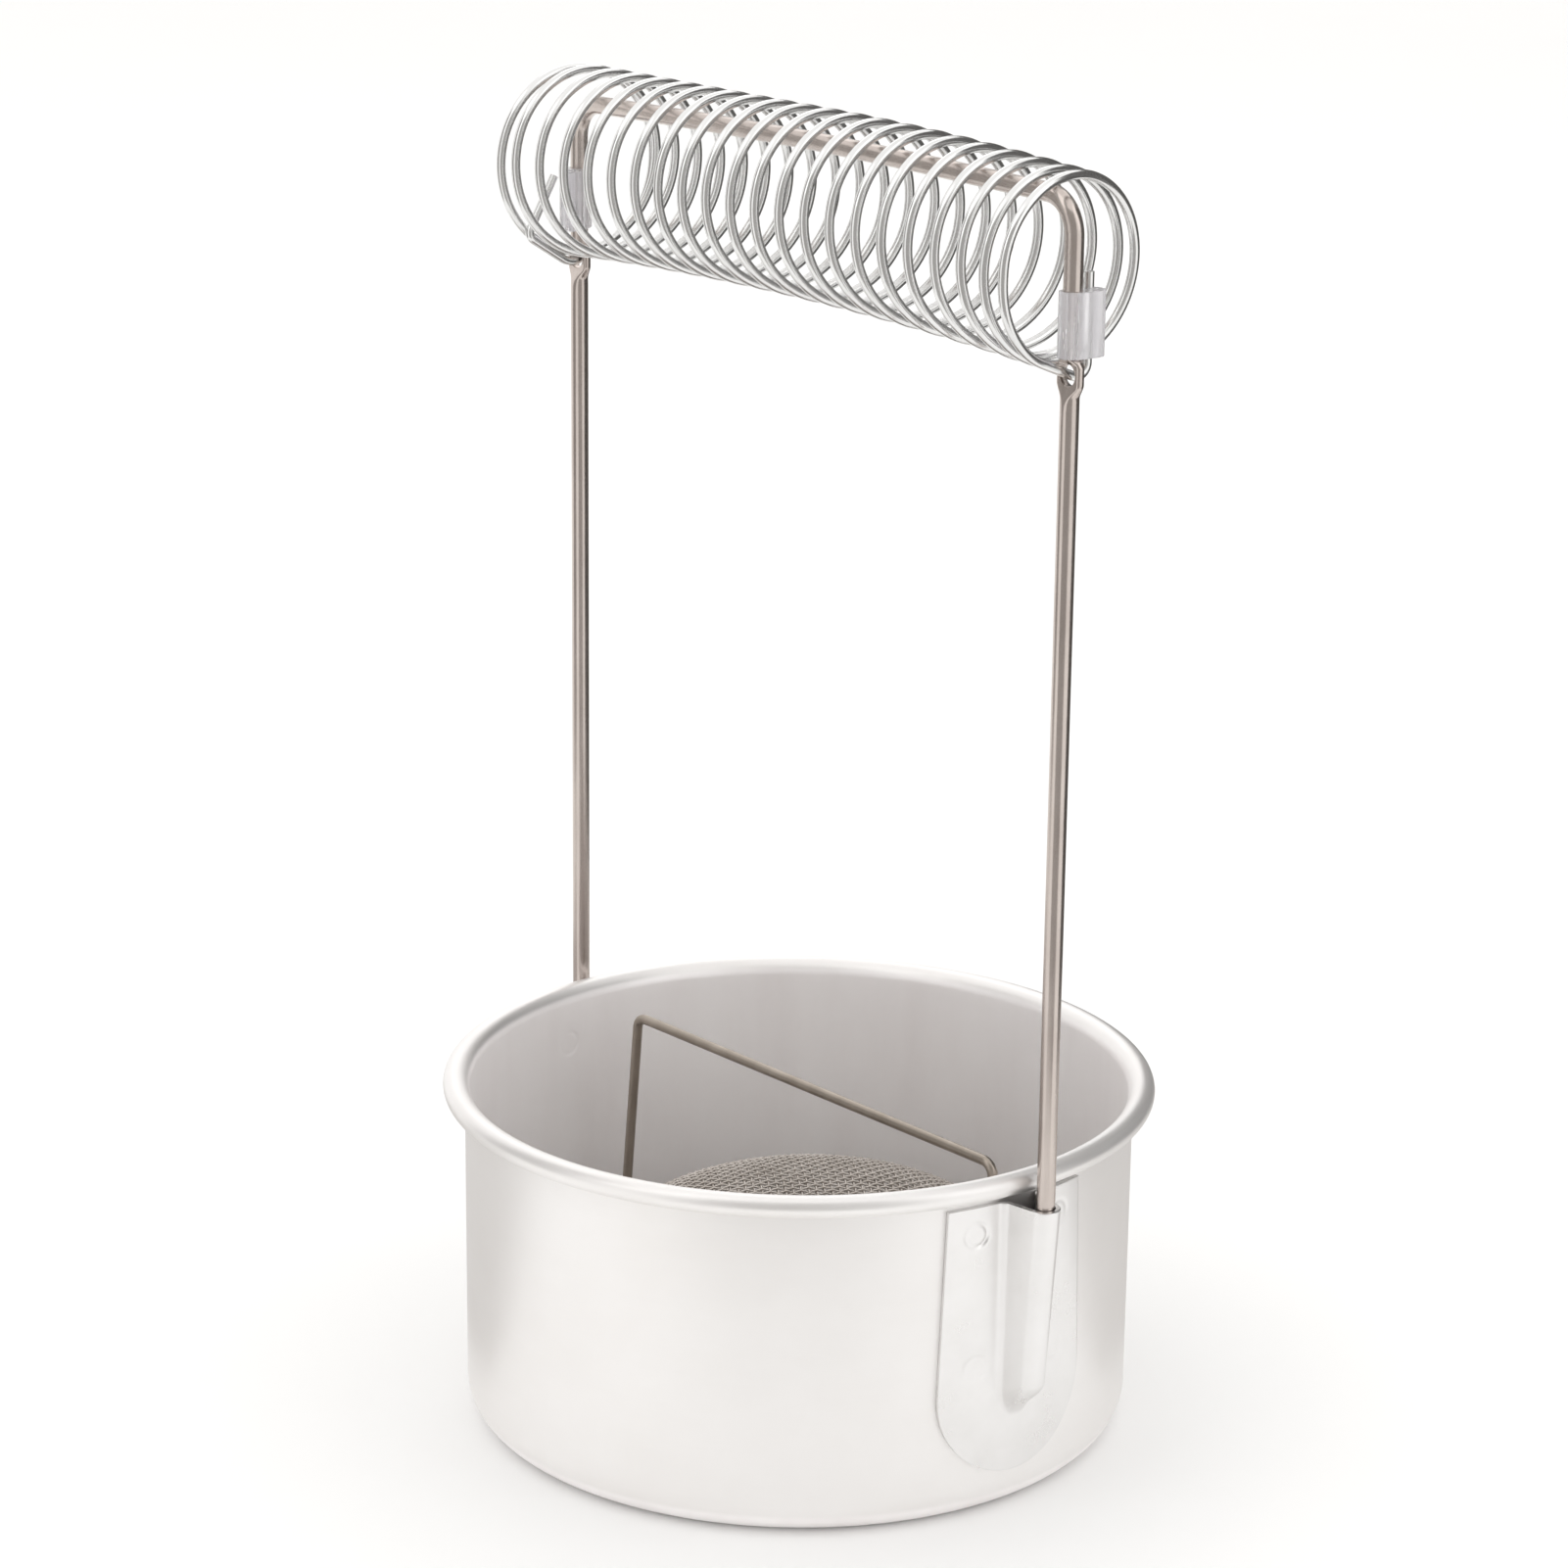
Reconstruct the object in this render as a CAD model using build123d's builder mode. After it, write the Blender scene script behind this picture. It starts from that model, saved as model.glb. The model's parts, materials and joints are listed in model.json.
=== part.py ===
"""Hand-held flour sifter: a spun cup, a wire handle with a coil-spring grip, and a lift-out domed sieve.

Millimetres, +Z up, origin at the centre of the cup's base. The handle's plane is X-Z.
"""
from build123d import *
from math import cos, pi, radians, sin, sqrt
import os

# ---- cup: spun aluminium, open base with an inward flange, rolled rim ----------------------------
cup_height = 70.0
rim_radius = 70.0            # outside of the rolled rim
bead_radius = 2.1            # outside radius of the rolled rim's section
bead_end = 210.0             # where the roll ends, in degrees about its centre, just short of the wall
sheet = 1.0
wall_radius = 65.75          # outside of the straight wall
corner_radius = 7.0          # outside radius between wall and base
outlet_radius = 55.0         # open centre of the base

# ---- handle: one wire, bent to an inverted U, flattened and pierced near both ends of the grip -----
rod_radius = 1.75
rod_x = 73.5                 # centre line of an upright
bar_z = 251.4                # centre line of the top bar, at its ends
bar_bow = 1.5                # rise of the top bar in its middle
bar_bow_radius = 1500.0
bend_radius = 7.0
rod_kink_z = 65.0            # below this an upright leans in along its bracket's channel
rod_kink_radius = 30.0
rod_foot_x = 70.2
rod_foot_z = 31.0
eye_z = 220.4                # centre of the hole that an end of the spring goes through
eye_radius = 2.05
eye_half_width = 3.1
eye_half_thickness = 0.8
eye_below = 4.4              # how far the flattened stretch reaches below and above the hole
eye_above = 2.9

# ---- brackets: plates spot-welded to the wall, with a channel pressed in them for the uprights -----
plate = 0.9
plate_gap = 0.05             # from the wall
plate_top_z = 64.0
plate_top_half = 16.0
plate_wide_half = 17.4       # half width where the rounded lower end starts
plate_wide_z = 26.4
channel_mouth_crest = 76.25  # distance of the channel's crest from the cup's axis, at its open mouth
channel_low_crest = 72.8
channel_low_z = 28.0
channel_end_z = 20.8
channel_end_lift = 0.4       # how far the crest still stands out at its lower end
channel_half = 4.1           # half width at the channel's back, inside the cup's wall
channel_back = 60.0          # distance of that back from the cup's axis
channel_round = 3.0          # radius of the channel's crest
weld_radius = 2.3
weld_ring = 0.35
weld_depth = 0.18
weld_places = ((10.0, 58.5), (-10.0, 58.5), (9.5, 31.5), (-9.5, 31.5))

# ---- grip: a coil spring hooked through the handle's eyes ------------------------------------------
coil_radius = 17.95          # mean radius
coil_wire = 0.9              # wire radius
coil_inset = 0.5             # how far short of the eyes the coil's turns end
whole_turns = 21
leave_angle = 24.0           # below the horizontal, where the wire leaves the coil for the eye
right_tail_y = 4.2           # the right end turns up beside the upright
right_tail_top = 238.2
right_tail_bend = 2.35
left_corner_y = -2.5         # the left end turns forward here, then up
left_tail = ((-73.0, -13.0, 226.0), (-73.9, -5.9, 237.2))
left_tail_bends = (5.0, 1.6)

# ---- sleeves: clear plastic, with one bore for the upright and one for the spring's end ------------
sleeve_radius = 2.5
sleeve_length = 11.8
sleeve_fit = 0.05
sleeve_right_z = 223.4
sleeve_left_z = 226.6
sleeve_left_lobe = (2.4, -3.45)
ridge_radius = 0.3
ridges_per_end = 5
ridge_span = 144.0           # degrees from the first ridge to the last, round each end

# ---- lift-out sieve ----------------------------------------------------------------------------------
rim_ring_radius = 57.3       # mean radius of the sieve's rim
rim_ring_z = 3.55
rim_wire_radius = 1.1
band_inner = 1.75            # the band is a strip rolled round the rim wire and the mesh's edge
band_outer = 2.25
band_slot = 1.1
mesh_half = 0.4              # half the thickness of the woven mesh
mesh_foot_gap = 0.1          # between the mesh's foot and the rim wire
skirt_z = 10.0               # the mesh stands straight up to here, then domes
dome_top_z = 42.5
dome_power = 3.7
bail_wire = 1.0
bail_corner = (53.1, 65.8)
bail_foot = (59.2, 4.9)
bail_bend = 2.6
sieve_shift = (0.9, 1.45)    # it lies loose in the cup, a little off its middle
sieve_turn = 2.5             # and turned by this many degrees from the handle's plane

# ---- worked out from them ----------------------------------------------------------------------------
wall_inner = wall_radius - sheet
plate_inner = wall_radius + plate_gap
plate_outer = plate_inner + plate
# the coil's axis is as high as lets a tangent to the coil run through the middle of the eye
coil_z = eye_z + coil_radius / cos(radians(leave_angle))
over = 1.0                   # how far a cut runs past a face


def weld_mark(y, z, radius, outward):
    """Cut the shallow ring that a welding electrode leaves on a wall, on both sides of the object."""
    lift = (weld_ring - weld_depth) * outward
    across = sqrt(radius**2 - y**2)
    stretch = 1 + lift / radius
    for side in (1, -1):
        mark = Plane(
            origin=(side * across * stretch, y * stretch, z),
            x_dir=(0, 0, 1),
            z_dir=(side * across, y, 0),
        )
        with Locations(mark):
            Torus(weld_radius, weld_ring, mode=Mode.SUBTRACT)


def make_cup():
    bead_x = rim_radius - bead_radius
    bead_z = cup_height - bead_radius
    bead_bore = bead_radius - sheet
    roll_outer = bead_x - wall_inner
    roll_inner = bead_x - wall_radius
    roll_z = cup_height - roll_outer
    base_x = wall_radius - corner_radius
    end_angle = radians(bead_end)
    middle_angle = (end_angle - 3 * pi / 2) / 2

    def on_bead(radius, angle):
        return (bead_x + radius * cos(angle), bead_z + radius * sin(angle))

    with BuildPart() as cup:
        with BuildSketch(Plane.XZ):
            with BuildLine():
                Polyline((base_x, sheet), (outlet_radius, sheet), (outlet_radius, 0), (base_x, 0))
                RadiusArc((base_x, 0), (wall_radius, corner_radius), -corner_radius)
                Line((wall_radius, corner_radius), (wall_radius, roll_z))
                RadiusArc((wall_radius, roll_z), (bead_x, roll_z + roll_inner), roll_inner)
                ThreePointArc(
                    on_bead(bead_bore, pi / 2),
                    on_bead(bead_bore, middle_angle),
                    on_bead(bead_bore, end_angle),
                )
                Line(on_bead(bead_bore, end_angle), on_bead(bead_radius, end_angle))
                ThreePointArc(
                    on_bead(bead_radius, end_angle),
                    on_bead(bead_radius, middle_angle),
                    on_bead(bead_radius, pi / 2),
                )
                RadiusArc((bead_x, cup_height), (wall_inner, roll_z), -roll_outer)
                Line((wall_inner, roll_z), (wall_inner, corner_radius))
                RadiusArc((wall_inner, corner_radius), (base_x, sheet), corner_radius - sheet)
            make_face()
        revolve(axis=Axis.Z)
        for y, z in weld_places:
            weld_mark(y, z, wall_inner, outward=-1)
    return cup.part


def channel_section(z, crest, shrink):
    """Sketch the arch-shaped section of the channel at a height. It reaches in behind the cup's wall."""
    round_radius = channel_round - shrink
    arch_x = crest - shrink - round_radius
    base_half = channel_half - shrink
    with BuildSketch(Plane.XY.offset(z)) as section:
        with BuildLine():
            Polyline(
                (arch_x, round_radius),
                (channel_back, base_half),
                (channel_back, -base_half),
                (arch_x, -round_radius),
            )
            ThreePointArc((arch_x, -round_radius), (arch_x + round_radius, 0), (arch_x, round_radius))
        make_face()
    return section.sketch


def make_bracket():
    slope = (channel_mouth_crest - channel_low_crest) / (plate_top_z - channel_low_z)
    channel = [
        channel_section(plate_top_z, channel_mouth_crest, 0),
        channel_section(channel_low_z, channel_low_crest, 0),
        channel_section(channel_end_z, plate_outer + channel_end_lift, 0),
    ]
    hollow = [
        channel_section(plate_top_z + over, channel_mouth_crest + slope * over, plate),
        channel_section(channel_low_z, channel_low_crest, plate),
        channel_section(channel_end_z + plate, plate_outer + plate, plate),
    ]
    with BuildPart() as bracket:
        with BuildSketch():
            Circle(plate_outer)
            Circle(plate_inner, mode=Mode.SUBTRACT)
        extrude(amount=plate_top_z)
        with BuildSketch(Plane.YZ):
            with BuildLine():
                Polyline(
                    (-plate_wide_half, plate_wide_z),
                    (-plate_top_half, plate_top_z),
                    (plate_top_half, plate_top_z),
                    (plate_wide_half, plate_wide_z),
                )
                ThreePointArc(
                    (plate_wide_half, plate_wide_z),
                    (0, plate_wide_z - plate_wide_half),
                    (-plate_wide_half, plate_wide_z),
                )
            make_face()
        extrude(amount=plate_outer + over, mode=Mode.INTERSECT)
        # the pressed channel, open at the top and behind
        loft(channel, ruled=True)
        loft(hollow, ruled=True, mode=Mode.SUBTRACT)
        with Locations((0, 0, cup_height / 2)):
            Cylinder(plate_inner, cup_height + 2 * over, mode=Mode.SUBTRACT)
        for y, z in weld_places:
            weld_mark(y, z, plate_outer, outward=1)
    return bracket.part


def make_handle():
    half_path = ((rod_foot_x, rod_foot_z), (rod_x, rod_kink_z), (rod_x, bar_z))
    left_path = tuple((-x, z) for x, z in reversed(half_path))
    with BuildPart() as handle:
        with BuildLine(Plane.XZ) as path:
            FilletPolyline(
                half_path + ((0, bar_z + bar_bow),) + left_path,
                radius=(rod_kink_radius, bend_radius, bar_bow_radius, bend_radius, rod_kink_radius),
            )
        start = path.wires()[0] ^ 0
        with BuildSketch(Plane(origin=start.position, z_dir=start.z_axis.direction)):
            Circle(rod_radius)
        sweep(path=path.wires()[0])
        for x in (rod_x, -rod_x):
            with Locations((x, 0, eye_z - eye_below)):
                Box(
                    3 * rod_radius,
                    3 * rod_radius,
                    eye_below + eye_above,
                    align=(Align.CENTER, Align.CENTER, Align.MIN),
                    mode=Mode.SUBTRACT,
                )
            with BuildSketch(Plane((x, 0, eye_z - eye_below))):
                Circle(rod_radius)
            with BuildSketch(Plane((x, 0, eye_z))):
                Ellipse(eye_half_width, eye_half_thickness)
            with BuildSketch(Plane((x, 0, eye_z + eye_above))):
                Circle(rod_radius)
            loft()
            with BuildSketch(Plane((x, 0, eye_z), x_dir=(1, 0, 0), z_dir=(0, 1, 0))):
                Circle(eye_radius)
            extrude(amount=rod_radius + over, both=True, mode=Mode.SUBTRACT)
    return handle.part


def round_wire(points, bends, radius):
    """A wire that follows straight runs through points, joined by arcs."""
    with BuildPart() as wire:
        with BuildLine() as path:
            FilletPolyline(points, radius=bends)
        route = path.wires()[0]
        with BuildSketch(Plane(origin=route @ 0, z_dir=route % 0)):
            Circle(radius)
        sweep(path=route)
    return wire.part


def make_spring():
    # at the right the wire leaves the coil at this angle about +X, measured from +Y
    last_angle = radians(270 - leave_angle)
    turns = whole_turns + 1 - 2 * leave_angle / 360
    end_x = rod_x - coil_inset
    pitch = 2 * end_x / turns
    last = Vector(end_x, coil_radius * cos(last_angle), coil_z + coil_radius * sin(last_angle))
    heading = Vector(pitch / (2 * pi), -coil_radius * sin(last_angle), coil_radius * cos(last_angle))
    first = Vector(-last.X, -last.Y, last.Z)
    first_heading = Vector(-heading.X, -heading.Y, heading.Z)
    right_corner = last + heading * ((right_tail_y - last.Y) / heading.Y)
    left_corner = first + first_heading * ((left_corner_y - first.Y) / first_heading.Y)
    right_tail = round_wire(
        (last, right_corner, Vector(right_corner.X, right_corner.Y, right_tail_top)),
        right_tail_bend,
        coil_wire,
    )
    left_end = round_wire((first, left_corner) + left_tail, left_tail_bends, coil_wire)
    with BuildPart() as coil:
        with BuildLine() as path:
            Helix(pitch, 2 * end_x, coil_radius)
        route = path.wires()[0]
        with BuildSketch(Plane(origin=route @ 0, z_dir=route % 0)):
            Circle(coil_wire)
        sweep(path=route, is_frenet=True)
    # the coil is made standing up, and laid along the handle with its start at the left end
    laid = Plane(origin=(-end_x, 0, coil_z), x_dir=(0, first.Y, first.Z - coil_z), z_dir=(1, 0, 0))
    with BuildPart() as spring:
        add(laid.location * coil.part)
        add(right_tail)
        add(left_end)
    return spring.part, right_corner


def make_sleeve(x, lobe, low_z):
    """Extruded sleeve: a bore round the upright at x, and one for the spring's end at lobe from it."""
    lobe_vector = Vector(*lobe)
    apart = lobe_vector.length
    outline = Plane(origin=(x, 0, low_z), x_dir=(lobe_vector.X, lobe_vector.Y, 0))
    with BuildPart() as sleeve:
        with BuildSketch(outline):
            with Locations((apart / 2, 0)):
                SlotCenterToCenter(apart, 2 * sleeve_radius)
            for centre, side in ((0, 180), (apart, 0)):
                first = side - ridge_span / 2
                with Locations((centre, 0)):
                    with PolarLocations(sleeve_radius, ridges_per_end, first, ridge_span, endpoint=True):
                        Circle(ridge_radius, mode=Mode.SUBTRACT)
            Circle(rod_radius + sleeve_fit, mode=Mode.SUBTRACT)
            with Locations((apart, 0)):
                Circle(coil_wire + sleeve_fit, mode=Mode.SUBTRACT)
        extrude(amount=sleeve_length)
    return sleeve.part


def dome_height(r):
    return dome_top_z - (dome_top_z - skirt_z) * (r / rim_ring_radius) ** dome_power


def make_mesh():
    """The woven mesh, as a thin domed skin with a straight skirt."""
    stations = 9

    def dome_curve(offset):
        curve = []
        for i in range(stations):
            r = rim_ring_radius * i / (stations - 1)
            slope = dome_power * (dome_top_z - skirt_z) * r ** (dome_power - 1)
            slope /= rim_ring_radius**dome_power
            length = sqrt(1 + slope**2)
            curve.append((r + offset * slope / length, dome_height(r) + offset / length))
        curve[-1] = (rim_ring_radius + offset, skirt_z)
        return curve

    outside = dome_curve(mesh_half)
    inside = dome_curve(-mesh_half)
    foot_z = rim_ring_z + rim_wire_radius + mesh_foot_gap
    with BuildPart() as mesh:
        with BuildSketch(Plane.XZ):
            with BuildLine():
                Spline(*outside)
                Polyline(
                    outside[-1],
                    (outside[-1][0], foot_z),
                    (inside[-1][0], foot_z),
                    inside[-1],
                )
                Spline(*reversed(inside))
                Line(inside[0], outside[0])
            make_face()
        revolve(axis=Axis.Z)
    return mesh.part


def make_rim_wire():
    with BuildPart() as rim_wire:
        with BuildSketch(Plane.XZ):
            with Locations((rim_ring_radius, rim_ring_z)):
                Circle(rim_wire_radius)
        revolve(axis=Axis.Z)
    return rim_wire.part


def make_rim_band():
    with BuildPart() as band:
        with BuildSketch(Plane.XZ):
            with Locations((rim_ring_radius, rim_ring_z)):
                Circle(band_outer)
                Circle(band_inner, mode=Mode.SUBTRACT)
            with Locations((rim_ring_radius, rim_ring_z + band_outer)):
                Rectangle(band_slot, 2 * (band_outer - band_inner + over), mode=Mode.SUBTRACT)
        revolve(axis=Axis.Z)
    return band.part


def make_bail():
    points = [
        Vector(bail_foot[0], 0, bail_foot[1]),
        Vector(bail_corner[0], 0, bail_corner[1]),
        Vector(-bail_corner[0], 0, bail_corner[1]),
        Vector(-bail_foot[0], 0, bail_foot[1]),
    ]
    return round_wire(points, bail_bend, bail_wire)


spring_part, right_tail_foot = make_spring()
bracket_part = make_bracket()
sieve_place = Location((*sieve_shift, 0), (0, 0, sieve_turn))
right_lobe = (right_tail_foot.X - rod_x, right_tail_y)
parts = {
    "cup_shell": make_cup(),
    "bracket_right": bracket_part,
    "bracket_left": bracket_part.rotate(Axis.Z, 180),
    "handle_frame": make_handle(),
    "grip_spring": spring_part,
    "sleeve_right": make_sleeve(rod_x, right_lobe, sleeve_right_z),
    "sleeve_left": make_sleeve(-rod_x, sleeve_left_lobe, sleeve_left_z),
    "sieve_mesh": sieve_place * make_mesh(),
    "sieve_rim_wire": sieve_place * make_rim_wire(),
    "sieve_rim_band": sieve_place * make_rim_band(),
    "sieve_bail": sieve_place * make_bail(),
}
os.makedirs("parts", exist_ok=True)
for name, part in parts.items():
    part.label = name
    export_step(part, f"parts/{name}.step")
    print(name, "volume", round(part.volume, 1), "solids", len(part.solids()))
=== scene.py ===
import json
import math

import bpy
import numpy as np
from mathutils import Matrix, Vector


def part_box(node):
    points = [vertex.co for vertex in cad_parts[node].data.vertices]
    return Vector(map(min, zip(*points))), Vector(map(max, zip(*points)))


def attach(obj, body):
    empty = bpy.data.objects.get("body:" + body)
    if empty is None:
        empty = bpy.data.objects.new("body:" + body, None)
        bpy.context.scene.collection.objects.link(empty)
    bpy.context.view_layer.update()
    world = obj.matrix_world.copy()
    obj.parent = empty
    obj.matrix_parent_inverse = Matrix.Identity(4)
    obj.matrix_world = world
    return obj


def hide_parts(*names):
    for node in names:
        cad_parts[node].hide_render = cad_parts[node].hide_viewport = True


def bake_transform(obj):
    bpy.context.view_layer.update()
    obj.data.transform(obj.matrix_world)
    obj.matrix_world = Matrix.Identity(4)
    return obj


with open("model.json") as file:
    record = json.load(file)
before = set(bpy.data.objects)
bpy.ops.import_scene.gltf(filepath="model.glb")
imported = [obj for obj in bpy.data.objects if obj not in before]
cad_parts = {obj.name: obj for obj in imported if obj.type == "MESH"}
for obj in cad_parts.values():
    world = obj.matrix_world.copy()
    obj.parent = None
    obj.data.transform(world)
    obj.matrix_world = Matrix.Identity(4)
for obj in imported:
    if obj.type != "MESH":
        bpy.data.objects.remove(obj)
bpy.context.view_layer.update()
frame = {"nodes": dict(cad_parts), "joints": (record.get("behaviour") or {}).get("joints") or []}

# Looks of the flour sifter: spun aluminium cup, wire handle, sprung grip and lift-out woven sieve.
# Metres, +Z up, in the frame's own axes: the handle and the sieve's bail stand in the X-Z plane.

MM = 0.001

# ---- cup -----------------------------------------------------------------------------------------
cup_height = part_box("cup_shell")[1].z
rim_radius = 70.0 * MM
bead_radius = 2.1 * MM
sheet = 1.0 * MM
wall_radius = 65.75 * MM
corner_radius = 7.0 * MM
outlet_radius = 55.0 * MM
curl_end = math.radians(210)      # where the rolled rim's edge ends, short of the wall
wall_inner = wall_radius - sheet
cup_cut_edge = 0.25 * MM          # rounding of the sheet's edge at the outlet
cup_fine = 0.3 * MM               # spacing of the section's points where the spot welds show inside
cup_coarse = 1.5 * MM
cup_weld_heights = (62.0 * MM, 55.0 * MM, 35.0 * MM, 28.0 * MM)
cup_weld_depth = 0.11 * MM

# ---- brackets ------------------------------------------------------------------------------------
bracket_low, bracket_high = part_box("bracket_right")
plate = 0.9 * MM
plate_outer = 66.7 * MM
plate_top_half = 16.0 * MM
plate_wide_half = bracket_high.y
plate_wide_z = bracket_low.z + plate_wide_half
mouth_crest = bracket_high.x
low_crest = 72.8 * MM
low_crest_z = 28.0 * MM
channel_tip_z = 20.0 * MM         # where the channel has come down to the plate
channel_round = 3.0 * MM
channel_half = 3.9 * MM           # half width at the mouth where a flank meets its fillet
channel_fillet = 1.5 * MM
weld_radius = 2.3 * MM
# the four welds: place across, place up, and how strong the mark is, the two upper ones first
welds = (
    (10.0 * MM, 58.5 * MM, 0.35), (-10.0 * MM, 58.5 * MM, 1.4),
    (9.5 * MM, 31.5 * MM, 0.3), (-9.5 * MM, 31.5 * MM, 0.6),
)
weld_ring = 0.35 * MM             # width of the ring that an electrode leaves
weld_depth = 0.30 * MM
dimple_radius = 4.2 * MM
dimple_depth = 0.28 * MM
upright_share = 0.35              # share of the plate's half width where its columns stay upright
column_spacing = 0.33 * MM
straight_rows = 110
round_rows = 56
plate_bevel = 0.16 * MM

# ---- handle --------------------------------------------------------------------------------------
rod_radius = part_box("handle_frame")[1].y
eye_half_width = 3.1 * MM
eye_half_thickness = 0.8 * MM
eye_radius = 2.05 * MM
eye_wedge = (4.4 * MM, 3.0 * MM)      # how far below the eye it starts to widen, and over what length
eye_shoulder = (2.9 * MM, 1.4 * MM)   # how far above the eye it is round again, and over what length
eye_flat = (2.3 * MM, 2.0 * MM)       # how far the flat reaches below and above the eye
eye_slopes = (0.36, 0.9)              # how fast the wire thickens again, below and above
eye_press_power = 10                  # how squarely the flat meets the wire's sides
eye_zone = 12.0 * MM                  # nothing is pressed further than this from the eye
eye_dense_zone = 7.5 * MM             # how far from the eye the stations are close together
eye_dense_steps = 10
drill_half = 4.0 * MM
handle_bevel = 0.12 * MM
rod_x = 73.5 * MM
rod_foot = (70.2 * MM, 31.0 * MM)
rod_kink_z = 65.0 * MM
rod_kink_radius = 30.0 * MM
bar_z = 251.4 * MM
bar_bow = 1.5 * MM
bar_bow_radius = 1.5
bend_radius = 7.0 * MM
grip_joint = next(joint for joint in frame["joints"] if joint["name"] == "grip_bounce")
eye_z = grip_joint["deforming_nodes"][0]["fixed_end_z_m"]

# ---- grip ----------------------------------------------------------------------------------------
spring_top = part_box("grip_spring")[1].z
coil_wire = 0.9 * MM
coil_end_x = 73.0 * MM
coil_left = (18.2 * MM, 240.0 * MM)       # mean radius and height of the axis, at the coil's two ends
coil_right = (16.8 * MM, 238.5 * MM)
coil_middle_radius = 16.95 * MM
coil_middle_z = spring_top - coil_wire - coil_middle_radius
coil_windings = 22
coil_steps_per_turn = 96
coil_even_turns = 0.2                 # the spacing is evened out over this many turns each way
coil_even_samples = 17
coil_end_turns = 0.3                  # and left as it is at the very ends
# the strands stand further apart at the left: (turns from the left end, place along X in mm)
coil_places = (
    (0, -73.0), (0.68, -74.9), (1.68, -69.7), (4.68, -46.4), (10.68, -2.4), (18.68, 55.9),
    (19.68, 63.0), (20.6, 69.2), (21.0, 69.4), (21.18, 70.6), (21.68, 74.8), (21.87, 73.0),
)
right_tail_y = 4.2 * MM
right_tail_top = 238.2 * MM
right_tail_bend = 2.35 * MM
left_corner_y = -2.5 * MM
left_tail = ((-73.0 * MM, -13.0 * MM, 226.0 * MM), (-73.9 * MM, -5.9 * MM, 237.2 * MM))
left_tail_bends = (5.0 * MM, 1.6 * MM)
tail_spacing = 1.2 * MM

# ---- sleeves -------------------------------------------------------------------------------------
sleeve_radius = 2.5 * MM
sleeve_fit = 0.05 * MM
sleeve_left_lobe = (2.4 * MM, -3.45 * MM)
sleeve_right_lobe = (0.29 * MM, right_tail_y)
sleeve_rounding = 0.12 * MM
ridge_radius = 0.3 * MM
ridges_per_end = 5
ridge_span = math.radians(144)

# ---- sieve ---------------------------------------------------------------------------------------
band_low, band_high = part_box("sieve_rim_band")
sieve_shift = ((band_low.x + band_high.x) / 2, (band_low.y + band_high.y) / 2)
sieve_turn = math.radians(2.5)    # from the handle's plane
band_outer = 2.25 * MM
band_inner = 1.75 * MM
band_slot = 1.1 * MM
rim_ring_radius = (band_high.x - band_low.x) / 2 - band_outer
rim_ring_z = 3.55 * MM
skirt_z = 10.0 * MM
dome_top_z = 42.5 * MM
dome_power = 3.7
crown_lean = (1.55 * MM, 1.95 * MM)   # how far the hand-pressed crown leans to one side
crown_power = 3                   # how much of that lean is kept to the very top
mesh_foot_z = 4.9 * MM
mesh_pitch = 1.55 * MM
mesh_turn = math.radians(54.5)    # the weave runs at this angle to the bail
mesh_wire = 0.23 * MM             # radius of a wire
mesh_sway = 0.22 * MM             # how far a wire swings over and under the ones it crosses
bail_wire = 1.0 * MM
bail_corner = (53.1 * MM, 65.8 * MM)
bail_foot = (59.2 * MM, 4.9 * MM)
bail_bend = 2.6 * MM


# ==== meshes ======================================================================================

def mesh_piece(name, points, quads, caps=(), crease=40):
    """An object from points, four-cornered faces, and caps with any number of corners."""
    mesh = bpy.data.meshes.new(name)
    corners = np.concatenate([np.ravel(quads), *caps]).astype(np.int32)
    sizes = np.array([4] * len(quads) + [len(cap) for cap in caps])
    starts = np.concatenate([[0], np.cumsum(sizes)[:-1]]).astype(np.int32)
    mesh.vertices.add(len(points))
    mesh.vertices.foreach_set("co", np.asarray(points, np.float32).ravel())
    mesh.loops.add(len(corners))
    mesh.loops.foreach_set("vertex_index", corners)
    mesh.polygons.add(len(sizes))
    mesh.polygons.foreach_set("loop_start", starts)
    mesh.update(calc_edges=True)
    mesh.validate()
    mesh.shade_smooth()
    mesh.set_sharp_from_angle(angle=math.radians(crease))
    piece = bpy.data.objects.new(name, mesh)
    bpy.context.scene.collection.objects.link(piece)
    return piece


def grid_quads(rows, columns, wrap_rows=False, wrap_columns=False):
    """Corner numbers of the faces of a grid of points, row after row."""
    index = np.arange(rows * columns).reshape(rows, columns)
    if wrap_rows:
        index = np.vstack([index, index[:1]])
    if wrap_columns:
        index = np.hstack([index, index[:, :1]])
    return np.stack([index[:-1, :-1], index[:-1, 1:], index[1:, 1:], index[1:, :-1]], -1).reshape(-1, 4)


def arc(centre, radius, start, end, step=8.0):
    """Points along an arc in a plane, from one angle to another, both in radians."""
    count = max(2, int(abs(math.degrees(end - start)) / step) + 1)
    angles = np.linspace(start, end, count)
    return np.stack([centre[0] + radius * np.cos(angles), centre[1] + radius * np.sin(angles)], -1)


def run(start, end, spacing):
    """Points along a straight run in a plane, without its two ends."""
    start, end = np.array(start), np.array(end)
    count = max(1, round(np.linalg.norm(end - start) / spacing))
    share = (np.arange(1, count) / count)[:, None]
    return start + (end - start) * share


def lathe_points(profile, angles):
    """Rows of points: the closed profile of (radius, height), once for each angle."""
    radius, height = np.asarray(profile).T
    return np.stack(
        [
            np.cos(angles)[:, None] * radius,
            np.sin(angles)[:, None] * radius,
            np.broadcast_to(height, (len(angles), len(height))),
        ],
        -1,
    )


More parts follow.
